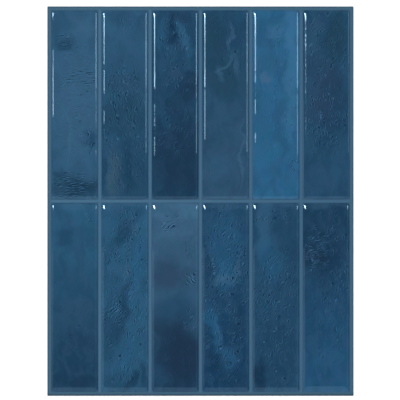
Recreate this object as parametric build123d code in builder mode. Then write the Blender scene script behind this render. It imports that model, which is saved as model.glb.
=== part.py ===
from build123d import *
import os
from math import cos, radians, sin

# A peel and stick backsplash tile, lying flat with its tiles up.
# One die-cut plastic sheet, printed in the grout colour, carries two rows of six upright tiles.
# Each tile is poured resin: it stands on the sheet with a broad round rim and a low crown.
# A thin paper liner covers the glue on the sheet's back until the sheet is stuck to a wall.
# X runs across the columns, Y up the rows and Z out of the glazed face.
# The origin is the middle of the liner's underside.

# Layout of the tiles, in millimetres
columns = 6
rows = 2
tile_width = 35.0
tile_length = 141.3
grout_gap = 2.6  # bare sheet between two tiles
border = 2.8  # bare sheet from the outer tiles to the cut edge

# Flat layers, in millimetres
liner_thickness = 0.13
sheet_thickness = 0.5  # the film and the glue on its back
die_corner_radius = 0.5  # the cutting die's corner, on the sheet and the liner

# Resin tile, in millimetres and degrees
corner_radius = 2.2  # in plan
rim_angle = 38.0  # how steeply the resin meets the sheet
rim_radius = 5.2
crown_angle = 2.0  # slope where the rim's curve passes into the crown
ridge_flat = 1.6  # straight end of the level ridge along the middle of a tile

rim_steps = 4
crown_steps = 2

# Sizes that follow
sheet_width = columns * tile_width + (columns - 1) * grout_gap + 2 * border
sheet_length = rows * tile_length + (rows - 1) * grout_gap + 2 * border
sheet_top = liner_thickness + sheet_thickness

rim_run = rim_radius * (sin(radians(rim_angle)) - sin(radians(crown_angle)))
rim_height = rim_radius * (cos(radians(crown_angle)) - cos(radians(rim_angle)))
ridge_half_width = corner_radius + ridge_flat / 2
crown_run = tile_width / 2 - rim_run
crown_radius = crown_run / sin(radians(crown_angle))


def rim_sections():
    """Insets from the tile's outline and heights above the sheet, up the rim's round profile."""
    for step in range(rim_steps + 1):
        slope = radians(rim_angle + (crown_angle - rim_angle) * step / rim_steps)
        inset = rim_radius * (sin(radians(rim_angle)) - sin(slope))
        height = rim_radius * (cos(slope) - cos(radians(rim_angle)))
        yield inset, height


def crown_sections():
    """The same from the top of the rim to the level ridge, up one long shallow arc."""
    for step in range(crown_steps + 1):
        inset = rim_run + (crown_run - ridge_half_width) * step / crown_steps
        slope_sine = (tile_width / 2 - inset) / crown_radius
        drop = crown_radius * (1 - (1 - slope_sine**2) ** 0.5)
        crown_rise = crown_radius * (1 - cos(radians(crown_angle)))
        yield inset, rim_height + crown_rise - drop


def resin_tile(centre_x, centre_y):
    """One poured tile: a loft up the rim, and a second loft over the crown."""
    with BuildPart() as tile:
        for sections in (rim_sections, crown_sections):
            for inset, height in sections():
                with BuildSketch(Plane((centre_x, centre_y, sheet_top + height))):
                    RectangleRounded(
                        tile_width - 2 * inset, tile_length - 2 * inset, corner_radius
                    )
            loft()
    return tile


def flat_layer(bottom, thickness):
    """A sheet of the full outline, cut by the die."""
    with BuildPart() as layer:
        with BuildSketch(Plane.XY.offset(bottom)):
            RectangleRounded(sheet_width, sheet_length, die_corner_radius)
        extrude(amount=thickness)
    return layer


def write_piece(piece, name):
    piece.part.label = name
    export_step(piece.part, f"parts/{name}.step")


os.makedirs("parts", exist_ok=True)

# Release liner, under the glue
release_liner = flat_layer(0, liner_thickness)
write_piece(release_liner, "release_liner")

# Printed sheet, whose bare strips show as grout lines
printed_sheet = flat_layer(liner_thickness, sheet_thickness)
write_piece(printed_sheet, "printed_sheet")

# Resin tiles, row 1 at the top and column 1 at the left
for row in range(rows):
    for column in range(columns):
        tile_x = (column - (columns - 1) / 2) * (tile_width + grout_gap)
        tile_y = ((rows - 1) / 2 - row) * (tile_length + grout_gap)
        tile = resin_tile(tile_x, tile_y)
        write_piece(tile, f"tile_row{row + 1}_col{column + 1}")
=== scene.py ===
# %% [markdown]
# # A sheet of stick-on wall tiles
# The real thing is a thin plastic sheet, printed in the colour of grout, with two rows of six
# upright tiles on it. Each tile is clear resin poured over a printed glaze, so it has a round
# shiny rim and a face that is almost flat. Paper covers the glue on the back.
#
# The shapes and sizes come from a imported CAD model, which is loaded here as a fixed frame.
# Blender adds what CAD leaves out: the waves and dimples of poured resin, the glaze and the light.

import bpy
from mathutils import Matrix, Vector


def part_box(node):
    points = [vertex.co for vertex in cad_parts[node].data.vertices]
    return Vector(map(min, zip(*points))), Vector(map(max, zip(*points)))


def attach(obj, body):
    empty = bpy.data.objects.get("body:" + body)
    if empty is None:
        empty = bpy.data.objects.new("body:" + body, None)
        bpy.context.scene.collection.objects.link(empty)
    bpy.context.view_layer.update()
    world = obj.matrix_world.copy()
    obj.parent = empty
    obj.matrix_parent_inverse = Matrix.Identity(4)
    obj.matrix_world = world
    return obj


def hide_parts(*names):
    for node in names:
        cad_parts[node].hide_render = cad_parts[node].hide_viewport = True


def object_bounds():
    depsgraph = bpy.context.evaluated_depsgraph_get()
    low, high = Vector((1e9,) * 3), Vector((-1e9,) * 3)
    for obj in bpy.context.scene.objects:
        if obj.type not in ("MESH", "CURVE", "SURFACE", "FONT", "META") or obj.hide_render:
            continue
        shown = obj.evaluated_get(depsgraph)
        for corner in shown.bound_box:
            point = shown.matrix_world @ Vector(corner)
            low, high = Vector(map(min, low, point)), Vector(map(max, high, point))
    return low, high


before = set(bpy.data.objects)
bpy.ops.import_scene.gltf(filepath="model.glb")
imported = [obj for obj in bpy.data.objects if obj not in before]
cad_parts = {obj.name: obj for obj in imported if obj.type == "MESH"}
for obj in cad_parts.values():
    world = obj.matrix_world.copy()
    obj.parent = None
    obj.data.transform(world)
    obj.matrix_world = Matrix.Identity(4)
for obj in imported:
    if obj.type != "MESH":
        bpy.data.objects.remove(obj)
cad_low, cad_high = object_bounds()
print("CAD box, in metres:", [round(v, 4) for v in (*cad_low, *cad_high)])

# %% [markdown]
# ## Tools and tiles
# bpy is Blender's own module, and numpy does sums on thousands of points at once. Blender counts
# in metres, while a tile is easier to think of in millimetres, so `mm` turns one into the
# other. The Standard view shows each colour as it was mixed. Where the tiles stand and how
# large they are could be typed in, but reading it from the frame keeps it true.

# %% Tools for this lesson
import math
from dataclasses import dataclass

import bpy
import numpy as np
from mathutils import Matrix

mm = 0.001
scene = bpy.context.scene
scene.view_settings.view_transform = "Standard"
print("Blender", bpy.app.version_string, "with the", scene.view_settings.view_transform, "view")

# %% Find the tiles
tile_names = sorted(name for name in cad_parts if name.startswith("tile_"))


def plan_of(name):
    """A tile's middle and half its size, in x and y, and the height it stands at, in mm."""
    low, high = (np.array(corner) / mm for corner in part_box(name))
    return (low + high)[:2] / 2, (high - low)[:2] / 2, low[2]


_, tile_half, tile_base = plan_of(tile_names[0])
print(len(tile_names), "tiles:", ", ".join(tile_names))
print("each", (2 * tile_half).round(1), "mm, standing", tile_base.round(2), "mm above the wall")

# %% [markdown]
# ## The camera
# The sheet lies on the floor and the camera looks straight down on it, with the top row away
# from us. A long lens from far away keeps the tiles' sides out of sight, as in a catalogue
# picture. The lens follows from the distance and from how much of the floor the frame takes in.

# %% Make the camera
sensor = 36.0  # mm, the camera's own default
camera_distance = 3.3  # m above the glaze
frame_across = 298.65 * mm  # what the square frame takes in, at the height of the glaze
frame_middle = (-0.34 * mm, 0.86 * mm)

camera_data = bpy.data.cameras.new("camera")
camera_data.sensor_width = sensor
camera_data.lens = sensor * camera_distance / frame_across
camera_data.clip_end = 100
camera = bpy.data.objects.new("camera", camera_data)
camera.location = (*frame_middle, cad_high.z + camera_distance)
scene.collection.objects.link(camera)
scene.camera = camera
print("lens:", round(camera_data.lens), "mm")

# %% [markdown]
# ## The outline of a tile
# A tile's mesh is made of rings that follow its rounded outline, close together where the rim
# is steep, and of one grid inside the last ring. All faces on top are quads, which bend smoothly.
# A bevelled and subdivided box would also work, but here each ring lies where we want it.
#
# A ring has four sides. Each side runs from the middle of one corner to the middle of the next,
# so that the same number of steps fits every ring.

# %% One side of a ring
corner_radius = 2.2  # mm, in plan
corner_steps = 5  # quads along half a corner
face_inset = 3.4  # mm, where the rings end and the grid begins
quad_size = 0.5  # mm, on the face


def side_line(straight, straight_steps):
    """One side of a ring: places along it, and how far each lies inside the side's own line."""
    turn = np.linspace(-math.pi / 4, 0, corner_steps, endpoint=False)
    corner = corner_radius * np.sin(turn) - straight / 2
    corner_depth = corner_radius * (1 - np.cos(turn))
    middle = np.linspace(-straight / 2, straight / 2, straight_steps + 1)
    along = np.concatenate([corner, middle, -corner[::-1]])
    depth = np.concatenate([corner_depth, 0 * middle, corner_depth[::-1]])
    return along, depth


def steps_along(half):
    """How many quads fit along the straight parts of the last ring, in x and y."""
    straight = 2 * (half - face_inset - corner_radius)
    return np.round(straight / quad_size).astype(int)


print("quads along the straight parts:", steps_along(tile_half))

# %% Rings, and the grid inside them
def ring_sides(half, inset, steps):
    """The foot and the left side of the ring at this inset, as x and y of each."""
    reach = half - inset
    foot_x, foot_depth = side_line(2 * (reach[0] - corner_radius), steps[0])
    left_y, left_depth = side_line(2 * (reach[1] - corner_radius), steps[1])
    return (foot_x, foot_depth - reach[1]), (left_depth - reach[0], left_y)


def ring(half, inset, steps):
    """The closed ring at this inset, anticlockwise from its lower left corner."""
    (foot_x, foot_y), (left_x, left_y) = ring_sides(half, inset, steps)
    foot = np.stack([foot_x, foot_y], 1)
    right = np.stack([-left_x, left_y], 1)
    return np.concatenate([foot[:-1], right[:-1], -foot[:-1], -right[:-1]])


def face_grid(half, inset, steps):
    """The grid that fills the ring at this inset, row by row from the foot up."""
    (foot_x, foot_y), (left_x, left_y) = ring_sides(half, inset, steps)
    across = 1 - 2 * (foot_x - foot_x[0]) / (foot_x[-1] - foot_x[0])
    along = 1 - 2 * (left_y - left_y[0]) / (left_y[-1] - left_y[0])
    x = foot_x[None, :] + across[None, :] * (left_x - left_x[0])[:, None]
    y = left_y[:, None] + along[:, None] * (foot_y - foot_y[0])[None, :]
    return np.stack([x.ravel(), y.ravel()], 1)


print("points round a tile:", len(ring(tile_half, 0.0, steps_along(tile_half))))

# %% [markdown]
# ## The round rim
# Resin stops at the tile's outline and is held there by its own surface tension. From there it
# rises in a round rim and levels out. So the rim's height depends only on how far in a point
# lies, round the corners too, and that distance is worked out first.
#
# A bevel modifier could round the rim as well, but here its width and roundness have to change
# along the tile, because that decides where the lines of light run.

# %% How far in, and how high
rim_rise = 1.1  # mm


def inset_of(x, y, half):
    """How far a point lies inside the tile's outline."""
    a = half[0] - corner_radius - np.abs(x)
    b = half[1] - corner_radius - np.abs(y)
    apart = np.clip(np.abs(a - b), 0, corner_radius)
    round_corner = (a + b + np.sqrt(2 * corner_radius**2 - apart**2)) / 2
    straight = np.minimum(a, b) + corner_radius
    return np.where(np.abs(a - b) < corner_radius, round_corner, straight)


def rim_height(inset, run, roundness):
    """The rim's rise, which levels out at the end of its run."""
    short_of_level = np.clip(1 - inset / run, 0, None)
    return rim_rise * (1 - short_of_level**roundness)


print("a rim's heights 0, 1, 2 and 3 mm in:", rim_height(np.arange(4), 3, 2).round(2))

# %% [markdown]
# ## Swells and dimples
# As resin sets it keeps faint swells, a few hundredths of a millimetre high. They can't be
# seen as such, but they break up the lines of light along the rims, and that is what tells the
# eye that this is poured and not moulded. Many plain waves of mixed lengths and directions,
# added up, look like that. A displacement texture could do the same, but these sums are as
# quick, and they can be faded out towards the tile's own outline.

# %% Waves and soft steps
def waves(x, y, draw, shortest, longest, count=24):
    """Waves of mixed lengths and directions, with a mean height of about one."""
    total = np.zeros_like(x)
    for _ in range(count):
        heading = draw.uniform(0, math.tau)
        turns = math.tau / draw.uniform(shortest, longest)
        phase = draw.uniform(0, math.tau)
        total += np.sin(turns * (x * math.cos(heading) + y * math.sin(heading)) + phase)
    return total / math.sqrt(count / 2)


def smooth(value, low, high):
    """0 below low, 1 above high, and an S-shaped step between them."""
    t = np.clip((value - low) / (high - low), 0, 1)
    return t * t * (3 - 2 * t)


print("a soft step:", smooth(np.linspace(0, 1, 5), 0, 1).round(2))

# %% [markdown]
# ## The palette
# The print on the sheet looks like glaze from a kiln, and all its tones come from one small
# palette of blues. They are mixed here as they look on a screen, from 0 to 255. Light adds up
# in linear numbers, so each tone is turned into those before a shader gets it.

# %% Mix the tones
def paint(red, green, blue):
    """A screen colour as the linear colour that shaders use."""
    screen = np.array([red, green, blue]) / 255
    linear = np.where(screen <= 0.04045, screen / 12.92, ((screen + 0.055) / 1.055) ** 2.4)
    return (*(float(v) for v in linear), 1.0)


palette = {
    "ink": paint(21, 46, 71),
    "dusk": paint(28, 49, 73),
    "midnight": paint(22, 58, 90),
    "moss": paint(31, 62, 81),
    "navy": paint(27, 58, 84),
    "plum": paint(42, 66, 92),
    "denim": paint(33, 70, 99),
    "slate": paint(46, 79, 106),
    "teal": paint(34, 83, 112),
    "lagoon": paint(42, 87, 118),
    "steel": paint(46, 86, 116),
    "azure": paint(42, 95, 133),
    "marine": paint(34, 78, 113),
    "sky": paint(60, 110, 147),
    "haze": paint(62, 100, 130),
    "ash": paint(60, 90, 110),
    "frost": paint(66, 111, 142),
}
print(len(palette), "tones:", ", ".join(palette))

# %% [markdown]
# ## How a tile's look is written down
# Each glaze drifts from one tone to another along its tile, pools darkly in some places and
# breaks into patches of fine crackle in others. So that every tile can be read and changed by
# itself, its look is written down once: tones, patches, crackle and the two long rims, in
# millimetres from the tile's middle. A painted picture could hold the same, but a short list is
# easier to change, and it stays sharp at any size.

# %% Patches and crackle
@dataclass
class Patch:
    """A soft cloud of one tone on a tile."""

    tone: str
    x: float
    y: float
    across: float  # half its width
    along: float  # half its height
    turn: float = 0.0  # degrees, anticlockwise
    strength: float = 0.7


@dataclass
class Crackle:
    """A patch of fine strokes in the glaze, with dimples in the resin over it."""

    x: float
    y: float
    across: float
    along: float
    heading: float = 60.0  # degrees, the way its strokes run
    strength: float = 1.0
    size: float = 0.7  # of its strokes
    bend: float = 7.0  # mm, how far its strokes stray


print("for one:", Patch("haze", 0, 70, 18, 5))

# %% Rims, and a tile's whole look
@dataclass
class Rim:
    """One long rim of a tile."""

    run: float  # from the outline to where the rim has levelled out
    roundness: float  # 1 is a straight bevel, 2 and more is round
    leans: tuple = ((0, 0),)  # how it slopes along the tile, in thousandths, place by place


@dataclass
class TileLook:
    """One tile's glaze and its rims."""

    head: str  # tone at its upper end
    foot: str  # tone at its lower end
    patches: list
    crackles: list
    left: Rim
    right: Rim
    foot_run: float = 2.7  # the run of the short rim at its lower end


looks = {}


def tell(name):
    """Says what a tile's look is made of."""
    look = looks[name]
    parts = f"{len(look.patches)} patches and {len(look.crackles)} of crackle"
    print(f"{name}: {look.head} to {look.foot}, with {parts}")


# %% [markdown]
# ## The glazes of the upper row
# Six tiles, six glazes. The first pools darkly at its foot, the next two fade to darker tones,
# the fourth has pale wisps like smoke, the fifth is the bright one of the sheet, and over the
# sixth lies a breath of plum. Later patches lie over earlier ones, as dabs of glaze do.
#
# The numbers in a rim's last brackets are places along the tile and how much the rim slopes
# there. Where the slope changes at once, the line of light on that rim breaks off.

# %% Upper row, column 1: steel blue with a dark foot
looks["tile_row1_col1"] = TileLook(
    head="steel",
    foot="steel",
    patches=[
        Patch("haze", 2, 2, 24, 52, 0, 0.45),
        Patch("navy", -7, 47, 7, 5, 0, 0.6),
        Patch("denim", 12, -26, 6, 8, 20, 0.9),
        Patch("moss", 0, -61, 24, 11, 0, 0.7),
        Patch("ink", 3, -62, 18, 8, 0, 0.5),
        Patch("ink", -11, -52, 5, 4, 0, 0.4),
        Patch("slate", -10, -62, 6, 8, 0, 0.5),
        Patch("haze", 7, 58, 11, 12, 0, 0.45),
        Patch("haze", -5, -20, 2, 24, 0, 0.35),
    ],
    crackles=[
        Crackle(0, 10, 20, 55, 6, 0.25),
        Crackle(-6, 47, 8, 6, 20, 0.9, 0.7, 4),
        Crackle(6, 21, 13, 7, 4, 0.7, 1.0, 2.5),
        Crackle(11, -27, 7, 10, 60, 0.8),
        Crackle(0, -60, 20, 11, 5, 1.1, 0.85, 3),
    ],
    left=Rim(2.5, 3.0, ((-70, -5), (-50, -2.5), (-40, -0.5), (-35, 0), (-28, 2), (-9, 6),
                        (-7.5, -5.4), (0, -4), (16, -0.9), (27, 0.8), (31, 0), (39.5, 0),
                        (41, 7.4), (66.6, 12.4), (67.5, 0))),
    right=Rim(2.6, 2.8, ((-35, 0), (-28, 3), (-13, 5), (-11, 0), (-7, 0), (-5, 7), (8, 9),
                         (10, 0))),
)
tell("tile_row1_col1")

# %% Upper row, column 2: steel fading to denim
looks["tile_row1_col2"] = TileLook(
    head="steel",
    foot="denim",
    patches=[
        Patch("plum", 0, 16, 18, 6, 10, 0.35),
        Patch("moss", 0, -10, 20, 16, 0, 0.45),
        Patch("moss", 5, 4, 12, 8, 0, 0.4),
        Patch("denim", 0, 64, 16, 5, 0, 0.35),
        Patch("ash", -9, -52, 6, 19, 0, 0.65),
        Patch("moss", 4, -52, 14, 20, 0, 0.35),
        Patch("navy", 3, -46, 4, 20, -3, 0.7),
    ],
    crackles=[
        Crackle(2, 62, 14, 8, 80, 0.35),
        Crackle(0, -18, 22, 54, 100, 0.5, 0.9),
        Crackle(-1, 17, 15, 11, 60, 0.6, 0.6),
        Crackle(-8, -46, 7, 13, 110, 0.5),
    ],
    left=Rim(2.85, 1.9, ((-38, 0), (-30, 2), (-15, 6), (-13.8, 0.8), (-5.4, 2.4), (-4, 6),
                         (9, 9), (11, -5), (25.2, -2.6), (26, 4.4), (30.6, 5.2), (31.4, 0))),
    right=Rim(2.4, 1.9, ((-30, 0), (-25, 3), (-23, 0), (-5, 0), (-3, 6), (8, 9), (11, 0))),
)
tell("tile_row1_col2")

# %% Upper row, column 3: denim fading to navy
looks["tile_row1_col3"] = TileLook(
    head="denim",
    foot="navy",
    patches=[
        Patch("azure", -10, 52, 4, 12, 0, 0.3),
        Patch("ink", -1, 54, 3, 13, 5, 0.8),
        Patch("sky", 6, 50, 3.5, 13, 0, 0.35),
        Patch("slate", 1, 24, 7, 5, 20, 0.5),
        Patch("ink", 10, 25, 4, 4, 0, 0.5),
        Patch("dusk", 9, 12, 10, 14, 0, 0.7),
        Patch("dusk", -2, 1, 8, 9, 0, 0.4),
        Patch("dusk", 4, 65, 12, 5, 0, 0.4),
        Patch("lagoon", 10, 39, 5, 6, 0, 0.5),
        Patch("dusk", 3, -36, 24, 36, 0, 0.6),
        Patch("teal", -8, -12, 4, 12, 10, 0.25),
    ],
    crackles=[
        Crackle(0, 50, 16, 19, 85, 0.7, 0.8),
        Crackle(3, 20, 15, 15, 60, 0.65, 0.8),
        Crackle(-3, -18, 17, 24, 60, 0.6),
    ],
    left=Rim(3.1, 1.85, ((-39.5, 0), (-38, -2.6), (-24, 0.3), (-22.5, 5), (-16, 5), (-15, -1.5),
                         (0.5, 1.5), (2, 0), (12, 0))),
    right=Rim(2.5, 2.0, ((-50, 6), (-38, 6), (-35, -3), (-20, -1), (9, -1), (11, 7), (13, 5),
                         (15, 0))),
)
tell("tile_row1_col3")

# %% Upper row, column 4: denim with pale wisps
looks["tile_row1_col4"] = TileLook(
    head="denim",
    foot="slate",
    patches=[
        Patch("moss", -9, 52, 12, 20, 0, 0.6),
        Patch("moss", 0, 22, 20, 20, 0, 0.5),
        Patch("haze", 4, 50, 1.6, 13, -5, 0.35),
        Patch("haze", 0, 32, 2.0, 11, -47, 0.45),
        Patch("haze", 9, 29, 2.0, 10, 15, 0.4),
        Patch("haze", -5, 25, 2.2, 7, 25, 0.4),
        Patch("haze", 12, -38, 1.2, 28, 0, 0.4),
        Patch("steel", -4, -46, 12, 12, 0, 0.5),
    ],
    crackles=[
        Crackle(-2, 58, 16, 12, 60, 0.3),
        Crackle(6, 34, 10, 18, 80, 0.45),
        Crackle(3, -58, 3, 4, 60, 0.8),
    ],
    left=Rim(2.9, 1.75, ((-30, 3), (-26.6, 3.5), (-25.2, -1.4), (-10, 1.5), (4, 4.2), (11, 5.5),
                         (13.5, -1), (18, 0))),
    right=Rim(2.7, 3.1, ((-60, 3), (-40, 3), (-34, 0), (-30, -2), (8, 0), (11, 6), (14, 0))),
)
tell("tile_row1_col4")

# %% Upper row, column 5: the bright one
looks["tile_row1_col5"] = TileLook(
    head="azure",
    foot="azure",
    patches=[
        Patch("sky", 12, 28, 6, 60, 0, 0.6),
        Patch("sky", 0, 53, 7, 10, 0, 0.5),
        Patch("slate", -8, 31, 9, 10, 0, 0.35),
        Patch("haze", -6, 21, 4, 4, 30, 0.7),
        Patch("teal", -10, -12, 8, 30, 0, 0.3),
    ],
    crackles=[
        Crackle(2, 51, 6, 7, 45, 0.7),
        Crackle(12, -44, 3.5, 4.5, 50, 1.2),
        Crackle(-4, -22, 2, 2.5, 70, 1.5),
        Crackle(0, 0, 20, 60, 90, 0.2),
    ],
    left=Rim(3.0, 1.6, ((-30, 0.9), (-28, 0), (-21, 1.2), (-19.5, 5), (-8, 6), (-6, 4), (3, 5.5),
                        (5, 0.5), (16, 1.5), (17.5, 6.8), (24, 8), (26, 0))),
    right=Rim(2.9, 3.2),
)
tell("tile_row1_col5")

# %% Upper row, column 6: denim under plum
looks["tile_row1_col6"] = TileLook(
    head="denim",
    foot="denim",
    patches=[
        Patch("slate", -9, 52, 7, 20, 0, 0.6),
        Patch("moss", 8, 50, 9, 22, 0, 0.75),
        Patch("moss", 3, 40, 3, 24, 0, 0.4),
        Patch("moss", 9, 64, 8, 6, 0, 0.4),
        Patch("plum", -10, -4, 6, 16, 0, 0.4),
        Patch("plum", -3, 14, 14, 30, 0, 0.6),
        Patch("dusk", 6, 2, 12, 34, 0, 0.35),
        Patch("steel", 0, -55, 17, 13, 0, 0.25),
    ],
    crackles=[
        Crackle(0, 40, 20, 32, 60, 0.75),
        Crackle(0, -10, 19, 28, 80, 1.15),
    ],
    left=Rim(3.0, 1.65, ((-70, -6.8), (-50, -2.9), (-34, 0.2), (-28, 2.2), (0, 7.6), (17, 10.3),
                         (18.3, 1.9), (43, 7), (56, 11), (62.5, 12.3), (63.3, 0))),
    right=Rim(0.8, 2.2, ((-30, 0), (-9, 4), (-7, -6), (-5, 5), (30, 4), (34, -4), (36, 4),
                         (60, 0))),
)
tell("tile_row1_col6")

# %% [markdown]
# ## The glazes of the lower row
# The lower tiles share some things. Their lower ends slope more gently, their upper ends are a
# little paler, and their long rims are alike, so these are written once and used again and
# again. Only the first tile has a tighter left rim, and the sixth an even gentler lower end.
# The glazes themselves differ as much as those above: dark runs on the second, a pale head
# over a dark pool on the third, azure runs on the fourth.

# %% What the lower tiles share
lower_left = Rim(3.4, 1.9)
lower_right = Rim(2.8, 3.0)
gentle_foot, wide_foot = 4.2, 5.6  # mm
pale_head = Patch("haze", 0, 70, 18, 5, 0, 0.3)
print("lower rims run", lower_left.run, "mm on the left and", lower_right.run, "mm on the right")

# %% Lower row, column 1: lagoon fading to navy
looks["tile_row2_col1"] = TileLook(
    head="lagoon",
    foot="navy",
    patches=[
        Patch("denim", -9, 45, 8, 6, 15, 0.8),
        Patch("denim", -4, 12, 10, 12, 0, 0.4),
        Patch("slate", 3, -14, 18, 14, 0, 0.3),
        Patch("ink", 4, -63, 14, 5, 0, 0.45),
        pale_head,
    ],
    crackles=[
        Crackle(3, -30, 13, 15, 40, 0.35),
        Crackle(10, 59, 3, 3, 60, 0.6),
    ],
    left=Rim(2.4, 2.5),
    right=lower_right,
    foot_run=gentle_foot,
)
tell("tile_row2_col1")

# %% Lower row, column 2: lagoon with long dark runs
looks["tile_row2_col2"] = TileLook(
    head="lagoon",
    foot="lagoon",
    patches=[
        Patch("navy", -13, -24, 6, 26, 0, 0.5),
        Patch("haze", -1, 21, 5, 8, -20, 0.35),
        Patch("haze", 10, 51, 4, 6, 0, 0.4),
        Patch("denim", 9, 64, 6, 5, 0, 0.4),
        Patch("azure", 10, 25, 5, 32, -8, 0.4),
        Patch("azure", 3, -45, 4, 20, -10, 0.3),
        Patch("navy", -1, 46, 5, 15, -28, 0.7),
        Patch("navy", -2, -11, 5.5, 27, -14, 0.7),
        Patch("navy", 14, -58, 4, 12, 0, 0.7),
        Patch("navy", -3, -62, 18, 9, 0, 0.35),
        Patch("ink", 5, -62, 4, 10, -10, 0.6),
        Patch("navy", 0, -71, 20, 6, 0, 0.5),
        pale_head,
    ],
    crackles=[
        Crackle(0, 0, 22, 80, 65, 0.65),
        Crackle(-7, -11, 11, 8, 42, 1.1, 0.8, 4),
        Crackle(2, 55, 11, 13, 80, 0.6),
        Crackle(1, -60, 6, 9, 70, 1.4, 0.9, 4),
    ],
    left=lower_left,
    right=lower_right,
    foot_run=gentle_foot,
)
tell("tile_row2_col2")

# %% Lower row, column 3: a pale head and a dark pool
looks["tile_row2_col3"] = TileLook(
    head="haze",
    foot="navy",
    patches=[
        Patch("slate", 0, 36, 20, 14, 0, 0.6),
        Patch("plum", -5, 17, 18, 13, 0, 0.8),
        Patch("steel", 12, 1, 5, 9, 0, 0.5),
        Patch("plum", 10, 18, 5, 6, 0, 0.4),
        Patch("dusk", -9, -24, 7, 14, 0, 0.55),
        Patch("ink", 9, -62, 6, 8, 0, 0.35),
        Patch("denim", -2, -9, 18, 12, 0, 0.6),
        Patch("dusk", 4, -43, 19, 29, 6, 0.95),
        Patch("denim", -15, -56, 4, 16, 0, 0.5),
        pale_head,
    ],
    crackles=[
        Crackle(-5, 56, 9, 8, 35, 1.0, 0.85, 6),
        Crackle(11, 38, 5, 10, 80, 0.5),
        Crackle(11, 14, 4.5, 5, 140, 3.0, 0.9),
        Crackle(11, -17, 6, 9, 60, 1.6),
        Crackle(0, -45, 19, 24, 110, 0.2),
    ],
    left=lower_left,
    right=lower_right,
    foot_run=gentle_foot,
)
tell("tile_row2_col3")

# %% Lower row, column 4: azure runs over a midnight foot
looks["tile_row2_col4"] = TileLook(
    head="denim",
    foot="midnight",
    patches=[
        Patch("azure", 1, 42, 15, 26, 0, 0.3),
        Patch("navy", -13, 22, 4, 14, 0, 0.6),
        Patch("azure", 0, 18, 7, 16, 0, 0.45),
        Patch("navy", 10, -28, 6, 8, 0, 0.35),
        Patch("haze", -2, 14, 9, 4, 12, 0.55),
        Patch("haze", 8, 24, 2.5, 10, -15, 0.35),
        Patch("haze", -9, 25, 2, 8, 15, 0.3),
        Patch("ink", 8, -16, 7, 20, 0, 0.35),
        Patch("azure", -9, -22, 5, 20, 20, 0.5),
        Patch("haze", -6, -26, 1.2, 14, 22, 0.3),
        Patch("azure", 2, -46, 5, 12, 20, 0.35),
        Patch("ink", -10, -49, 6, 10, 0, 0.5),
        Patch("navy", 6, -62, 16, 8, 0, 0.5),
        pale_head,
    ],
    crackles=[
        Crackle(0, 0, 22, 80, 60, 0.85),
        Crackle(11, 24, 5, 15, 100, 0.9),
        Crackle(-9, 8, 8, 11, 60, 0.6),
    ],
    left=lower_left,
    right=lower_right,
    foot_run=gentle_foot,
)
tell("tile_row2_col4")

# %% Lower row, column 5: denim with a dark corner
looks["tile_row2_col5"] = TileLook(
    head="denim",
    foot="denim",
    patches=[
        Patch("steel", -10, 54, 7, 24, 0, 0.9),
        Patch("azure", -5, 28, 9, 19, 0, 0.35),
        Patch("navy", 12, 40, 7, 34, 0, 0.3),
        Patch("navy", 0, -40, 18, 34, 0, 0.4),
        Patch("ink", -12, -58, 7, 13, 0, 0.8),
        pale_head,
    ],
    crackles=[
        Crackle(0, -5, 21, 46, 60, 0.75),
        Crackle(0, -52, 19, 20, 70, 0.55),
        Crackle(0, 60, 17, 7, 60, 0.5),
    ],
    left=lower_left,
    right=lower_right,
    foot_run=gentle_foot,
)
tell("tile_row2_col5")

# %% Lower row, column 6: navy over marine
looks["tile_row2_col6"] = TileLook(
    head="navy",
    foot="marine",
    patches=[
        Patch("ink", -3, 34, 20, 26, 0, 0.6),
        Patch("dusk", -8, 31, 8, 12, 0, 0.8),
        Patch("lagoon", 0, -46, 16, 8, 5, 0.3),
        pale_head,
    ],
    crackles=[
        Crackle(-7, 35, 11, 17, 15, 2.0, 0.7, 6),
        Crackle(4, 25, 18, 42, 70, 0.9),
        Crackle(0, -22, 19, 30, 70, 0.4),
    ],
    left=lower_left,
    right=lower_right,
    foot_run=wide_foot,
)
tell("tile_row2_col6")

# %% [markdown]
# ## Dimples and leaning rims
# Over crackle the resin dimples, so a mask says where a tile has crackle. In the upper row the
# long rims aren't quite level either: most rise and fall by one to three tenths of a millimetre.
# What the eye reads there is the slope, because each slope mirrors another part of the studio.
# So a tile's look lists slopes, and adding them up along the rim gives its heights.

# %% Where a tile dimples, and how its rims lean
lean_step = 0.1  # mm, between the places where slopes are added up
lean_reach = 72  # mm from the tile's middle, a little past its ends
highest_lean = 0.13  # mm, which keeps the rims inside the CAD box


def crackle_mask(crackles, x, y):
    """Where a tile has crackle, from 0 to 1."""
    mask = np.zeros_like(x)
    for c in crackles:
        away = np.hypot((x - c.x) / c.across, (y - c.y) / c.along)
        mask = np.maximum(mask, min(c.strength, 1) * smooth(-away, -1.1, -0.5))
    return mask


def lean_height(y, leans):
    """The height that follows from a rim's slopes along the tile."""
    places, slopes = zip(*leans)
    fine = np.linspace(-lean_reach, lean_reach, round(2 * lean_reach / lean_step) + 1)
    height = np.cumsum(np.interp(fine, places, slopes)) * lean_step / 1000
    level = max(height.mean(), height.max() - highest_lean)
    return np.interp(y, fine, height - level)


first_lean = lean_height(np.arange(-70, 71), looks[tile_names[0]].left.leans)
print("the first rim rises and falls by", round(float(np.ptp(first_lean)), 2), "mm")

# %% [markdown]
# ## The height of every point
# Now the parts are put together: the rims, whose shape changes from the left side to the right
# and again at the foot, a low crown, a slump at the upper end, the leans, the swells and the
# dimples. Setting one of the heights below to 0 shows what that part does. A rim that is raised
# still starts on the sheet, because its outline is held down there.

# %% The rims' shape over a tile
run_wander = 0.004  # how far the rims' width strays, as a share of it
foot_roundness = 2.2  # of the short rim at the lower end
corner_blend = 1.5  # mm, on either side of the line where a long rim meets the short one


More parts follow.
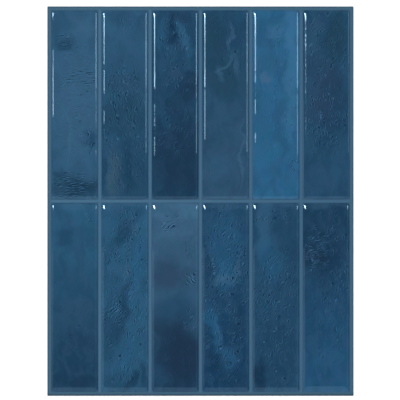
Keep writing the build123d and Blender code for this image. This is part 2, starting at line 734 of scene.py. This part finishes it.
def rim_shape(x, y, half, look, draw):
    """The rims' run and roundness at each point."""
    rightness = smooth(x, -half[0], half[0])
    run = look.left.run + (look.right.run - look.left.run) * rightness
    run = run * (1 + run_wander * waves(x, y, draw, 20, 60))
    roundness = look.left.roundness
    roundness = roundness + (look.right.roundness - roundness) * rightness
    nearer_foot = (half[0] - np.abs(x)) - (half[1] + y)
    foot = smooth(nearer_foot, -corner_blend, corner_blend)
    run = run + (look.foot_run - run) * foot
    roundness = roundness + (foot_roundness - roundness) * foot
    return run, roundness


ends_x, ends_y = np.zeros(2), tile_half[1] * np.array([-1, 1])
first_look = looks[tile_names[0]]
end_runs, _ = rim_shape(ends_x, ends_y, tile_half, first_look, np.random.default_rng(0))
print("the first tile's rim runs", end_runs.round(1), "mm, at its lower and its upper end")

# %% Heights of one tile
crown_rise = 0.17  # mm
slump_depth, slump_length = 0.1, 5.3  # mm, the resin sinks a little towards its upper end
lean_begins, lean_full = 11, 3  # mm from the tile's side
swell_height, swell_lengths = 0.016, (14, 45)  # mm
dimple_height, dimple_lengths = 0.012, (1.8, 4)  # mm
held_edge = 0.5  # mm, over which the outline holds a raised rim down on the sheet


def tile_heights(x, y, half, look, draw):
    """Heights of the resin over the sheet, and insets from its outline."""
    inset = inset_of(x, y, half)
    height = rim_height(inset, *rim_shape(x, y, half, look, draw))
    height += crown_rise * (1 - (x / half[0]) ** 2) * (1 - (y / half[1]) ** 4)
    settled = -slump_depth * smooth(y, half[1] - slump_length, half[1])
    for rim, side in ((look.left, -1), (look.right, 1)):
        near_side = smooth(x * side, half[0] - lean_begins, half[0] - lean_full)
        settled += near_side * lean_height(y, rim.leans)
    height += np.where(settled > 0, settled * smooth(inset, 0, held_edge), settled)
    height += swell_height * waves(x, y, draw, *swell_lengths) * smooth(inset, 1, 7)
    dimples = waves(x, y, draw, *dimple_lengths, 40) * crackle_mask(look.crackles, x, y)
    return height + dimple_height * dimples * smooth(inset, 1.5, 4), inset


centre = np.zeros(1)
at_centre, _ = tile_heights(centre, centre, tile_half, first_look, np.random.default_rng(0))
print("the first tile is", at_centre.round(2), "mm high at its centre")

# %% [markdown]
# ## One mesh for each tile
# A mesh is a list of points and a list of faces, which name their corners by number. Rings and
# grid are numbered in order, so the faces follow by counting. Plain strips close the mesh from
# below. Where a rim has sunk, its outline and these strips lie a little inside the film, so that
# no gap shows under the resin.
#
# Each tile replaces its CAD solid. Every point also keeps its inset from the outline as an
# attribute, which the glaze reads later.

# %% Faces of one tile
def rim_and_face(rings, columns, rows):
    """The quads from the outline up the rings, and those of the grid inside them."""
    around = 2 * (columns + rows)
    grid = rings * around + np.arange((columns + 1) * (rows + 1)).reshape(rows + 1, columns + 1)
    edge = np.concatenate([grid[0, :-1], grid[:-1, -1], grid[-1, :0:-1], grid[:0:-1, 0]])
    loops = [np.arange(k * around, (k + 1) * around) for k in range(rings)] + [edge]
    quads = [
        np.stack([low, np.roll(low, -1), np.roll(high, -1), high], 1)
        for low, high in zip(loops, loops[1:])
    ]
    corners = [grid[:-1, :-1], grid[:-1, 1:], grid[1:, 1:], grid[1:, :-1]]
    quads.append(np.stack(corners, -1).reshape(-1, 4))
    return np.concatenate(quads).tolist()


def underside(columns, rows):
    """Strips from the left side to the right, and one face at each end."""
    around = 2 * (columns + rows)
    left = (around - np.arange(rows + 1)) % around
    right = columns + np.arange(rows + 1)
    strips = np.stack([left[:-1], left[1:], right[1:], right[:-1]], 1).tolist()
    foot = list(range(columns, -1, -1))
    head = list(range(2 * columns + rows, columns + rows - 1, -1))
    return [*strips, foot, head]


print("the smallest tile of this kind has", len(rim_and_face(1, 2, 2)), "quads on top")

# %% Build a tile
rim_insets = (0, 0.12, 0.3, 0.5, 0.75, 1.0, 1.3, 1.6, 1.9, 2.2, 2.6, 3.0)  # mm


def build_tile(name, look, seed):
    """The tile's mesh, at its place on the sheet."""
    middle, half, base = plan_of(name)
    steps = steps_along(half)
    flat = [ring(half, inset, steps) for inset in rim_insets]
    flat = np.concatenate([*flat, face_grid(half, face_inset, steps)])
    height, inset = tile_heights(*flat.T, half, look, np.random.default_rng(seed))
    points = np.column_stack([flat + middle, height + base]) * mm

    columns, rows = (int(n) + 2 * corner_steps for n in steps)
    top = rim_and_face(len(rim_insets), columns, rows)
    bottom = underside(columns, rows)
    mesh = bpy.data.meshes.new(name + "_resin")
    mesh.from_pydata(points.tolist(), [], top + bottom)
    mesh.polygons.foreach_set("use_smooth", [True] * len(top) + [False] * len(bottom))
    insets = mesh.attributes.new("inset", "FLOAT", "POINT")
    insets.data.foreach_set("value", inset.astype(np.float32))
    tile = bpy.data.objects.new(name + "_resin", mesh)
    scene.collection.objects.link(tile)
    return tile


print("a rim has", len(rim_insets), "rings of points")

# %% Put the tiles on the sheet
tiles = {}
for seed, name in enumerate(tile_names):
    tiles[name] = build_tile(name, looks[name], seed)
    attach(tiles[name], "root")
    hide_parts(name)
    top = max(v.co.z for v in tiles[name].data.vertices)
    print(name, len(tiles[name].data.polygons), "faces, top at", round(top / mm, 3), "mm")


# %% [markdown]
# ## Short words for shader nodes
# Shaders are built from nodes, and each node takes the same few lines: make it, set it, link
# it. These helpers say that once. `node` makes any node, `calc` does sums, `shift` and `scale`
# do them on places, `spread` maps one range of numbers to another, and `mix` lays one colour
# over another.

# %% Make a node
def fill(tree, made, inputs):
    """Sets each input to a value, or links it from another node's output."""
    for key, value in inputs.items():
        if isinstance(value, bpy.types.NodeSocket):
            tree.links.new(value, made.inputs[key])
        else:
            made.inputs[key].default_value = value
    return made


def node(tree, kind, inputs=(), **settings):
    """A new node of this kind, with its settings and inputs."""
    made = tree.nodes.new("ShaderNode" + kind)
    for setting, value in settings.items():
        setattr(made, setting, value)
    return fill(tree, made, dict(inputs))


print("helpers:", ", ".join(helper.__name__ for helper in (fill, node)))

# %% Sums, ranges and mixes
def calc(tree, operation, *values):
    """A sum on numbers."""
    return node(tree, "Math", enumerate(values), operation=operation).outputs[0]


def shift(tree, operation, *values):
    """A sum on places or directions."""
    return node(tree, "VectorMath", enumerate(values), operation=operation).outputs[0]


def scale(tree, place, factor):
    """A place, direction or colour times a number."""
    return node(tree, "VectorMath", {0: place, "Scale": factor}, operation="SCALE").outputs[0]


def spread(tree, value, low, high, to_low=0.0, to_high=1.0):
    """A soft step from one number to another while the value goes from low to high."""
    inputs = enumerate((value, low, high, to_low, to_high))
    return node(tree, "MapRange", inputs, interpolation_type="SMOOTHSTEP").outputs[0]


def mix(tree, amount, under, over):
    """One colour laid over another by this amount."""
    return node(tree, "Mix", {0: amount, 6: under, 7: over}, data_type="RGBA").outputs[2]


print("helpers:", ", ".join(helper.__name__ for helper in (calc, shift, scale, spread, mix)))

# %% [markdown]
# ## Node groups
# An effect that several materials use is a node group: built once, with named inputs and
# outputs, and placed in each material with the material's own values. Copies of the same nodes
# would look the same, but a change would have to be made in each of them.

# %% Make and place a group
def new_group(name, inputs, outputs):
    """An empty node group with these sockets, and the nodes at its two ends."""
    group = bpy.data.node_groups.new(name, "ShaderNodeTree")
    for label, (kind, value) in inputs.items():
        socket = group.interface.new_socket(label, in_out="INPUT", socket_type="NodeSocket" + kind)
        socket.default_value = value
    for label in outputs:
        group.interface.new_socket(label, in_out="OUTPUT", socket_type="NodeSocketFloat")
    starts = group.nodes.new("NodeGroupInput").outputs
    ends = group.nodes.new("NodeGroupOutput")
    return group, starts, ends


def use_group(tree, group, **inputs):
    """Places a node group in a material, with the material's own values."""
    placed = tree.nodes.new("ShaderNodeGroup")
    placed.node_tree = group
    return fill(tree, placed, {key.replace("_", " "): value for key, value in inputs.items()})


print("node groups so far:", len(bpy.data.node_groups))

# %% [markdown]
# ## Clouds in the glaze
# Glaze runs and pools in the kiln, so its tone drifts in long soft clouds. A noise texture
# drawn out along the tile does that. Its edge says how softly a cloud ends, and its seed moves
# it to another part of the noise, so that no two tiles get the same clouds.

# %% Group: glaze cloud
glaze_cloud, starts, ends = new_group(
    "glaze_cloud",
    {
        "Place": ("Vector", (0, 0, 0)),
        "Size": ("Float", 12.0),
        "Drawn Out": ("Float", 1.8),
        "Seed": ("Float", 0.0),
        "Edge": ("Float", 0.12),
    },
    ["Mask"],
)
tree = glaze_cloud
apart = node(tree, "SeparateXYZ", {0: starts["Place"]}).outputs
sized_x = calc(tree, "DIVIDE", apart[0], starts["Size"])
sized_y = calc(tree, "DIVIDE", apart[1], starts["Size"])
sized_y = calc(tree, "DIVIDE", sized_y, starts["Drawn Out"])
sized = node(tree, "CombineXYZ", {0: sized_x, 1: sized_y, 2: starts["Seed"]}).outputs[0]
soft_noise = {"Vector": sized, "Scale": 1.0, "Detail": 4.0, "Roughness": 0.55}
noise = node(tree, "TexNoise", soft_noise).outputs[0]
below = calc(tree, "SUBTRACT", 0.5, starts["Edge"])
above = calc(tree, "ADD", 0.5, starts["Edge"])
tree.links.new(spread(tree, noise, below, above), ends.inputs["Mask"])
print(glaze_cloud.name, "has", len(glaze_cloud.nodes), "nodes")

# %% [markdown]
# ## A patch in the glaze
# Some patches stand where they stand, such as a dark pool at the foot of a tile. A patch is
# an ellipse whose edge fades out. The material feeds it places that wander a little, so that
# the ellipse comes out as an uneven blot.

# %% Group: glaze patch
glaze_patch, starts, ends = new_group(
    "glaze_patch",
    {
        "Place": ("Vector", (0, 0, 0)),
        "Middle": ("Vector", (0, 0, 0)),
        "Reach": ("Vector", (5, 5, 1)),
        "Turn": ("Float", 0.0),
        "Core": ("Float", 0.35),
    },
    ["Mask"],
)
tree = glaze_patch
centred = shift(tree, "SUBTRACT", starts["Place"], starts["Middle"])
back = calc(tree, "MULTIPLY", starts["Turn"], -1.0)
turned = node(tree, "VectorRotate", {"Vector": centred, "Angle": back}, rotation_type="Z_AXIS")
unit = shift(tree, "DIVIDE", turned.outputs[0], starts["Reach"])
away = node(tree, "VectorMath", {0: unit}, operation="LENGTH").outputs["Value"]
tree.links.new(spread(tree, away, 1.25, starts["Core"]), ends.inputs["Mask"])
print(glaze_patch.name, "has", len(glaze_patch.nodes), "nodes")

# %% [markdown]
# ## Crackle
# Where the glaze is thick it crackles: short strokes in bundles, pale on one flank and dark on
# the other. A noise drawn out into strokes gives the lines. Taking it twice, a hair's breadth
# apart, and keeping only the difference gives the two flanks. Bending the places first makes
# the bundles curve, and a second, larger noise leaves bare spots between them.
#
# A painted picture of crackle would be quicker to look up, but these strokes never repeat.

# %% Group: crackle strokes, and the places they bend along
crackle_strokes, starts, ends = new_group(
    "crackle_strokes",
    {
        "Place": ("Vector", (0, 0, 0)),
        "Heading": ("Float", 1.0),
        "Length": ("Float", 5.0),
        "Width": ("Float", 0.9),
        "Apart": ("Float", 0.32),
        "Bundle": ("Float", 5.0),
        "Bend": ("Float", 7.0),
        "Seed": ("Float", 0.0),
    },
    ["Flanks", "Height"],
)
tree = crackle_strokes
moved = node(tree, "CombineXYZ", {0: starts["Seed"], 1: starts["Seed"]}).outputs[0]
moved = shift(tree, "ADD", starts["Place"], moved)
per_bundle = calc(tree, "DIVIDE", 1.0, starts["Bundle"])
bend = node(tree, "TexNoise", {"Vector": moved, "Scale": per_bundle, "Detail": 1.0}).outputs[1]
bend = scale(tree, shift(tree, "SUBTRACT", bend, (0.5, 0.5, 0.5)), starts["Bend"])
bent = shift(tree, "ADD", moved, bend)
back = calc(tree, "MULTIPLY", starts["Heading"], -1.0)
turned = node(tree, "VectorRotate", {"Vector": bent, "Angle": back}, rotation_type="Z_AXIS")
apart = node(tree, "SeparateXYZ", {0: turned.outputs[0]}).outputs
along = calc(tree, "DIVIDE", apart[0], starts["Length"])
print("places bent by", len(crackle_strokes.nodes), "nodes")

# %% Group: crackle strokes, their flanks and their height
def stroke_height(aside):
    """The height of the strokes, read a little to one side of the place."""
    across = calc(tree, "DIVIDE", calc(tree, "ADD", apart[1], aside), starts["Width"])
    drawn = node(tree, "CombineXYZ", {0: along, 1: across}).outputs[0]
    return node(tree, "TexNoise", {"Vector": drawn, "Scale": 1.0, "Detail": 0.6}).outputs[0]


here, there = stroke_height(0.0), stroke_height(starts["Apart"])
flanks = calc(tree, "MULTIPLY", calc(tree, "SUBTRACT", there, here), 6.5)
sharper = calc(tree, "POWER", calc(tree, "ABSOLUTE", flanks), 0.2)
flanks = calc(tree, "MULTIPLY", flanks, sharper)
bundles = node(tree, "TexNoise", {"Vector": moved, "Scale": per_bundle, "Detail": 3.0})
bundles = spread(tree, bundles.outputs[0], 0.36, 0.66, 0.0, 1.5)
tree.links.new(calc(tree, "MULTIPLY", flanks, bundles), ends.inputs["Flanks"])
tree.links.new(calc(tree, "MULTIPLY", here, bundles), ends.inputs["Height"])
print(crackle_strokes.name, "has", len(crackle_strokes.nodes), "nodes")

# %% [markdown]
# ## Fine grain
# Printed film has a faint tooth, paper has fibres, and resin keeps a little dust. One group
# of fine noise serves all three, at different sizes.

# %% Group: fine grain
fine_grain, starts, ends = new_group(
    "fine_grain",
    {
        "Place": ("Vector", (0, 0, 0)),
        "Size": ("Float", 0.5),
        "Low": ("Float", 0.0),
        "High": ("Float", 1.0),
    },
    ["Value"],
)
tree = fine_grain
fine = calc(tree, "DIVIDE", 1.0, starts["Size"])
grain = node(tree, "TexNoise", {"Vector": starts["Place"], "Scale": fine, "Detail": 3.0})
grain = spread(tree, grain.outputs[0], 0.3, 0.7, starts["Low"], starts["High"])
tree.links.new(grain, ends.inputs["Value"])
print(fine_grain.name, "has", len(fine_grain.nodes), "nodes")

# %% [markdown]
# ## The glaze
# Each tile has a material of its own, but all are made by one function from the tile's look.
# From the bottom up: the two tones fade into each other along the tile, clouds break them
# up, patches are laid over, and the crackle darkens and lightens what is there. Over the print
# the resin is clear and smooth, so it mirrors the studio like glass.

# %% A new material, and places on it
def new_material(name):
    """An empty material with its Principled shader."""
    material = bpy.data.materials.new(name)
    material.use_nodes = True
    tree = material.node_tree
    return material, tree, tree.nodes["Principled BSDF"]


def millimetres(tree, middle=(0.0, 0.0, 0.0)):
    """Places on the piece, in millimetres from a point of it."""
    place = node(tree, "TexCoord").outputs["Object"]
    return scale(tree, shift(tree, "SUBTRACT", place, middle), 1 / mm)


def wander(tree, place, size, reach, seed):
    """Moves places about a little, so that plain shapes come out uneven."""
    moved = shift(tree, "ADD", place, (0, 0, seed))
    noise = node(tree, "TexNoise", {"Vector": moved, "Scale": 1 / size, "Detail": 3.0}).outputs[1]
    away = shift(tree, "SUBTRACT", noise, (0.5, 0.5, 0.5))
    return shift(tree, "ADD", place, scale(tree, away, 2 * reach))


print("node groups to build materials from:", ", ".join(bpy.data.node_groups.keys()))

# %% The print's tones
cloud_amount, wisp_amount = 0.32, 0.14
greener = (0.94, 1.02, 0.99, 1)
redder = (1.06, 0.98, 1.01, 1)


def lay_patches(tree, colour, patches, place):
    """The patches of a look, one over another."""
    for patch in patches:
        placed = use_group(
            tree,
            glaze_patch,
            Place=place,
            Middle=(patch.x, patch.y, 0),
            Reach=(patch.across, patch.along, 1e6),
            Turn=math.radians(patch.turn),
        )
        amount = calc(tree, "MULTIPLY", placed.outputs["Mask"], patch.strength)
        colour = mix(tree, amount, colour, palette[patch.tone])
    return colour


def glaze_tones(tree, look, place, half_length, seed):
    """The print's colour before the crackle."""
    loose = wander(tree, place, 14, 9, seed * 17.0)
    y = node(tree, "SeparateXYZ", {0: loose}).outputs[1]
    fade = spread(tree, y, half_length, -half_length)
    colour = mix(tree, fade, palette[look.head], palette[look.foot])
    cloud = use_group(tree, glaze_cloud, Place=loose, Size=13.0, Seed=seed * 3.1)
    cloud = calc(tree, "MULTIPLY", cloud.outputs["Mask"], cloud_amount)
    colour = mix(tree, cloud, colour, palette["navy"])
    wisp = use_group(tree, glaze_cloud, Place=loose, Size=5.0, Drawn_Out=2.6, Seed=seed * 5.3)
    wisp = calc(tree, "MULTIPLY", wisp.outputs["Mask"], wisp_amount)
    colour = mix(tree, wisp, colour, palette["haze"])
    tint = use_group(tree, glaze_cloud, Place=loose, Size=7.0, Drawn_Out=1.4, Seed=seed * 7.9)
    tint = mix(tree, tint.outputs["Mask"], greener, redder)
    return shift(tree, "MULTIPLY", lay_patches(tree, colour, look.patches, loose), tint)


print("patches to lay, on all tiles:", sum(len(look.patches) for look in looks.values()))

# %% The crackle over them
faint_crackle = Crackle(0, 0, 90, 90, 70, 0.05)  # over the whole of each tile


def crackle_amount(tree, look, place, seed):
    """The flanks and the height of all the crackle on a tile."""
    loose = wander(tree, place, 6, 5, seed * 11.0)
    flanks, height = 0.0, 0.0
    for order, crackle in enumerate([faint_crackle, *look.crackles]):
        spot = use_group(
            tree,
            glaze_patch,
            Place=loose,
            Middle=(crackle.x, crackle.y, 0),
            Reach=(crackle.across, crackle.along, 1e6),
            Core=0.5,
        )
        strokes = use_group(
            tree,
            crackle_strokes,
            Place=place,
            Heading=math.radians(crackle.heading),
            Length=5.0 * crackle.size,
            Width=0.9 * crackle.size,
            Apart=0.34 * crackle.size,
            Bend=crackle.bend,
            Seed=(seed + 1) * 61.0 + order * 7.7,
        )
        strength = calc(tree, "MULTIPLY", spot.outputs["Mask"], crackle.strength)
        more = calc(tree, "MULTIPLY", strokes.outputs["Flanks"], strength)
        flanks = calc(tree, "ADD", flanks, more)
        rise = calc(tree, "MULTIPLY", strokes.outputs["Height"], strength)
        height = calc(tree, "ADD", height, rise)
    return flanks, height


print("crackle, on all tiles:", sum(len(look.crackles) for look in looks.values()), "patches")

# %% One tile's glaze
pale_flank, dark_flank = 0.6, 1.15  # how strongly a stroke's two flanks show
crackle_relief = 0.03 * mm
resin_ior = 1.5


def show_crackle(tree, colour, flanks):
    """The print with its strokes: pale on one flank, dark on the other."""
    pale = calc(tree, "MULTIPLY", calc(tree, "MAXIMUM", flanks, 0.0), pale_flank)
    thin_glaze = mix(tree, 0.5, scale(tree, colour, 1.9), palette["frost"])
    colour = mix(tree, pale, colour, thin_glaze)
    dark = calc(tree, "MULTIPLY", calc(tree, "MINIMUM", flanks, 0.0), -dark_flank)
    return mix(tree, dark, colour, palette["ink"])


def make_glaze(name, look, seed):
    """The glaze of one tile."""
    material, tree, shader = new_material(name.replace("tile", "glaze"))
    middle, half, _ = plan_of(name)
    place = millimetres(tree, (*middle * mm, 0))
    flanks, height = crackle_amount(tree, look, place, seed)
    colour = glaze_tones(tree, look, place, half[1], seed)
    colour = show_crackle(tree, colour, flanks)
    inset = node(tree, "Attribute", attribute_name="inset").outputs["Fac"]
    # Right at the outline the print turns a little paler. Up the rim it is painted lighter too:
    # painted light that makes up for the shade the sloping rim gets from the overhead lamp.
    colour = mix(tree, spread(tree, inset, 0.5, 0.0, 0.0, 0.25), colour, palette["haze"])
    colour = scale(tree, colour, spread(tree, inset, 0.0, 3.0, 1.1, 1.0))
    tree.links.new(colour, shader.inputs["Base Color"])
    dust = use_group(tree, fine_grain, Place=place, Size=2.5, Low=0.01, High=0.025)
    tree.links.new(dust.outputs["Value"], shader.inputs["Roughness"])
    height = calc(tree, "MULTIPLY", height, spread(tree, inset, 1.5, 4.0))
    bump = node(tree, "Bump", {"Height": height, "Distance": crackle_relief, "Strength": 1.0})
    tree.links.new(bump.outputs[0], shader.inputs["Normal"])
    shader.inputs["IOR"].default_value = resin_ior
    return material


mirrored = ((resin_ior - 1) / (resin_ior + 1)) ** 2
print("seen from straight above, the resin mirrors", round(100 * mirrored), "% of the light")

# %% Glaze the tiles
for seed, name in enumerate(tile_names):
    glaze = make_glaze(name, looks[name], seed)
    tiles[name].data.materials.append(glaze)
    print(glaze.name, "has", len(glaze.node_tree.nodes), "nodes")


# %% [markdown]
# ## The printed sheet
# Between the tiles the sheet shows as grout: satin plastic, printed slate blue, with a fine
# tooth. Next to a tile it is painted darker, as painted shade where the raised tile stands on it,
# and the cut edge has a thin painted shadow.
# All of that could be more geometry, but the film is flat, so it stays as CAD made it and only
# its material is new. The distance to the nearest joint's middle line tells where a tile begins.

# %% Tones of the printed grout
grout_on_left, grout_on_right = paint(52, 96, 126), paint(43, 86, 115)
grout_tooth = paint(39, 80, 109)
grout_painted_shade = paint(33, 68, 95)
outer_border = paint(44, 83, 105)
cut_edge_painted_shade = paint(29, 64, 86)
lowest_strip_painted_shade = paint(22, 52, 74)
joint_steps = plan_of("tile_row1_col2")[0] - plan_of("tile_row2_col1")[0]
print("joints repeat every", joint_steps.round(1), "mm across and up")

# %% Shade the grout
def past_outline(tree, x, y):
    """How far a place lies past the sheet's outline, so a little less than 0 near its edge."""
    past_x = calc(tree, "SUBTRACT", calc(tree, "ABSOLUTE", x), cad_high.x / mm)
    past_y = calc(tree, "SUBTRACT", calc(tree, "ABSOLUTE", y), cad_high.y / mm)
    return calc(tree, "MAXIMUM", past_x, past_y)


def grout_tones(tree, x, y, tooth):
    """Slate blue, paler on the left, with painted shade where it meets a tile, at the cut edge and
    along the lower edge.
    """
    colour = mix(tree, spread(tree, x, -110, 110), grout_on_left, grout_on_right)
    colour = mix(tree, calc(tree, "MULTIPLY", tooth, 0.25), colour, grout_tooth)
    # Painted shade: the grout darkens from its joint's middle line towards each tile's foot and
    # towards the cut edge.
    off_x = calc(tree, "PINGPONG", x, joint_steps[0] / 2)
    off_y = calc(tree, "PINGPONG", y, joint_steps[1] / 2)
    off_middle = calc(tree, "MINIMUM", off_x, off_y)
    colour = mix(tree, spread(tree, off_middle, 0.4, 1.4, 0.0, 0.8), colour, grout_painted_shade)
    past = past_outline(tree, x, y)
    colour = mix(tree, spread(tree, past, -3.0, -2.4, 0.0, 0.75), colour, outer_border)
    # A thin painted shadow along the cut edge.
    colour = mix(tree, spread(tree, past, -1.0, -0.4, 0.0, 0.9), colour, cut_edge_painted_shade)
    # More painted shade in the strip along the lower edge.
    up = calc(tree, "ADD", y, cad_high.y / mm)
    return mix(tree, spread(tree, up, 2.2, 0.8, 0.0, 0.7), colour, lowest_strip_painted_shade)


print("a joint is", (joint_steps - 2 * tile_half).round(1), "mm wide, across and up")

# %% Print the grout
def make_grout_print():
    """Satin plastic with a fine tooth."""
    material, tree, shader = new_material("grout_print")
    place = millimetres(tree)
    x, y = node(tree, "SeparateXYZ", {0: place}).outputs[:2]
    tooth = use_group(tree, fine_grain, Place=place, Size=0.6).outputs["Value"]
    tree.links.new(grout_tones(tree, x, y, tooth), shader.inputs["Base Color"])
    shader.inputs["Specular IOR Level"].default_value = 0.2
    rough = use_group(tree, fine_grain, Place=place, Size=0.6, Low=0.5, High=0.65)
    tree.links.new(rough.outputs["Value"], shader.inputs["Roughness"])
    bump = node(tree, "Bump", {"Height": tooth, "Distance": 0.02 * mm})
    tree.links.new(bump.outputs[0], shader.inputs["Normal"])
    return material


def dress(name, material):
    """Gives a CAD piece its material, and leaves the piece itself alone."""
    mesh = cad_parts[name].data
    mesh.materials.clear()
    mesh.materials.append(material)
    print(name, "is dressed in", material.name, "with", len(material.node_tree.nodes), "nodes")


dress("printed_sheet", make_grout_print())

# %% [markdown]
# ## The liner
# The liner is white paper with a slick coat, peeled off before the sheet goes on the wall. Its
# fibres are the crackle group again, short and faint, and its cloudy look, which paper shows
# against the light, is the cloud group. It keeps its CAD shape too.

# %% Make the liner's paper
pulp, pulp_pale = paint(232, 229, 220), paint(241, 239, 232)


def make_liner_paper():
    """White paper with faint fibres and clouds, under a slick coat."""
    material, tree, shader = new_material("liner_paper")
    place = millimetres(tree)
    fibres = use_group(tree, crackle_strokes, Place=place, Heading=0.4, Length=3.0, Width=0.5)
    mottle = use_group(tree, glaze_cloud, Place=place, Size=6.0, Drawn_Out=1.0, Edge=0.3)
    colour = mix(tree, mottle.outputs["Mask"], pulp, pulp_pale)
    shade = calc(tree, "MULTIPLY_ADD", fibres.outputs["Flanks"], 0.03, 1.0)
    tree.links.new(scale(tree, colour, shade), shader.inputs["Base Color"])
    rough = use_group(tree, fine_grain, Place=place, Size=1.5, Low=0.35, High=0.5)
    tree.links.new(rough.outputs["Value"], shader.inputs["Roughness"])
    bump = node(tree, "Bump", {"Height": fibres.outputs["Height"], "Distance": 0.01 * mm})
    tree.links.new(bump.outputs[0], shader.inputs["Normal"])
    return material


dress("release_liner", make_liner_paper())

# %% [markdown]
# ## The floor
# The sheet lies on a plain white floor. A small part of the floor's white is its own light, and
# only for the camera and for reflections, so the picture's background is white while
# the shadow stays. The floor is left open under the sheet and can be seen through from
# below, so that the liner can be looked at too.

# %% An open floor
floor_reach = 8.0  # m
floor_drop = 0.1 * mm  # the gap under the liner
floor_lap = 1.5 * mm  # how far the sheet covers the opening's edge


def square_ring(inner, outer, height):
    """A flat ring between two rectangles, given by their corners in x and y."""
    corners = [(-1, -1), (1, -1), (1, 1), (-1, 1)]
    points = [(sx * rx, sy * ry, height) for rx, ry in (inner, outer) for sx, sy in corners]
    faces = [(k, k + 4, (k + 1) % 4 + 4, (k + 1) % 4) for k in range(4)]
    mesh = bpy.data.meshes.new("floor")
    mesh.from_pydata(points, [], faces)
    return mesh


opening = (cad_high.x - floor_lap, cad_high.y - floor_lap)
floor_mesh = square_ring(opening, (floor_reach, floor_reach), -floor_drop)
floor = bpy.data.objects.new("floor", floor_mesh)
scene.collection.objects.link(floor)
print("opening:", [round(2 * side / mm, 1) for side in opening], "mm")

# %% White, with a shadow
own_light = 0.25

material, tree, shader = new_material("floor_white")
shader.inputs["Base Color"].default_value = (0.8, 0.8, 0.8, 1)
shader.inputs["Roughness"].default_value = 0.9
shader.inputs["Specular IOR Level"].default_value = 0.1
path = node(tree, "LightPath").outputs
seen = calc(tree, "MAXIMUM", path["Is Camera Ray"], path["Is Glossy Ray"])
seen = calc(tree, "MAXIMUM", seen, path["Is Transmission Ray"])
glow = node(tree, "Emission", {"Strength": calc(tree, "MULTIPLY", seen, own_light)})
white = node(tree, "AddShader", {0: shader.outputs[0], 1: glow.outputs[0]})
from_below = node(tree, "NewGeometry").outputs["Backfacing"]
clear = node(tree, "BsdfTransparent")
either = node(tree, "MixShader", {0: from_below, 1: white.outputs[0], 2: clear.outputs[0]})
tree.links.new(either.outputs[0], tree.nodes["Material Output"].inputs["Surface"])
floor.data.materials.append(material)
print(material.name, "has", len(tree.nodes), "nodes")

# %% [markdown]
# ## The light
# A glossy thing is lit by what it mirrors. The faces look straight up, so there the studio is
# kept dark, and the glaze keeps its depth. What shines is the rims, which look to the sides.
# Long soft panes stand there, past the top row: the left one draws the bright line down each
# left rim, and a weaker one on the right draws the line there. The further down a tile a rim
# lies, or the more it leans, the nearer the end of a pane it mirrors. So the left pane comes
# in stretches, one of them veiled, and a lower pane follows after a gap: that is where the
# lines grow pale and break off. The top stretch is the brightest, and mostly the tiles' upper
# ends mirror it.
#
# Low cards on the left and beyond the foot end lift the rims that face them. The rest of the
# light comes from overhead and is kept out of the gloss, as a polarising filter does.

# %% Cards and panes
far = 12.0  # m, from the sheet to a pane
pane_width = 3.8  # m
cool = (0.54, 0.81, 1.0)
cooler = (0.42, 0.74, 1.0)


def card(name, heading, lean, distance, size, radiance, colour, slide=0.0):
    """A soft card that faces the sheet, leaning from overhead towards a heading."""
    data = bpy.data.lights.new(name, "AREA")
    data.shape = "RECTANGLE"
    data.size, data.size_y = size
    data.energy = radiance * math.pi * size[0] * size[1]
    data.color = colour
    lamp = bpy.data.objects.new(name, data)
    heading_turn = Matrix.Rotation(math.radians(heading), 4, "Z")
    lean_turn = Matrix.Rotation(math.radians(lean), 4, "Y")
    lamp.matrix_world = heading_turn @ lean_turn @ Matrix.Translation((0, slide, distance))
    lamp.visible_camera = False
    scene.collection.objects.link(lamp)
    return lamp


def pane(name, lean, y_from, y_to, radiance):
    """A long card over one side of the sheet, seen only in the gloss."""
    size = (pane_width, y_to - y_from)
    lamp = card(name, 0, lean, far, size, radiance, cool, slide=(y_from + y_to) / 2)
    lamp.visible_diffuse = False
    print(name, "from", y_from, "to", y_to, "m, radiance", radiance)


# %% What the rims mirror
to_left, to_right = -31, 31  # degrees from straight overhead

pane("left_pane_top", to_left, 0.9, 5.0, 55.0)
pane("left_pane", to_left, 0.65, 0.9, 30.0)
pane("left_pane_middle", to_left, 0.58, 0.65, 20.0)
pane("left_pane_veiled", to_left, 0.455, 0.58, 12.0)
pane("left_pane_end", to_left, 0.389, 0.455, 20.0)
pane("left_lower_pane", to_left, 0.1985, 0.30, 9.0)
pane("right_pane", to_right, 0.389, 5.0, 10.5)
pane("right_lower_pane", to_right, 0.16, 0.365, 6.0)
pane("right_glow", to_right, -3.0, 0.16, 0.5)

left_card = card("left_card", 0, -62, 6.0, (5.0, 9.0), 0.8, cool, slide=-4.6)
foot_card = card("foot_card", -90, 43, 6.0, (7.0, 7.0), 1.0, cooler)
left_card.visible_diffuse = False
foot_card.visible_diffuse = False

# %% Light for the print
overhead = card("overhead", 0, 0, 2.5, (8.0, 8.0), 1.42, (1.0, 1.0, 1.0))
overhead.visible_glossy = False
print("overhead lamp:", round(overhead.data.energy), "W")

# %% [markdown]
# ## The world round the studio
# Above the sheet the world is almost dark, because the level faces mirror it. Towards the
# horizon it lightens a little. Below it is bright, which lights the liner when the sheet is
# looked at from behind. One soft step on another makes that from the height of a direction.

# %% Make the world
at_zenith, overhead_rim, at_horizon, from_floor = 0.004, 0.015, 0.05, 0.9

world = bpy.data.worlds.new("studio")
scene.world = world
world.use_nodes = True
tree = world.node_tree
background = tree.nodes["Background"]
background.inputs["Color"].default_value = (1, 1, 1, 1)
up = node(tree, "SeparateXYZ", {0: node(tree, "TexCoord").outputs["Generated"]}).outputs[2]
high_up = spread(tree, up, 0.3, 0.9, overhead_rim, at_zenith)
above = spread(tree, up, 0.1, 0.2, at_horizon, high_up)
strength = spread(tree, up, -0.04, -0.02, from_floor, above)
tree.links.new(strength, background.inputs["Strength"])
print("the world's strength:", from_floor, "from below,", at_zenith, "from straight above")
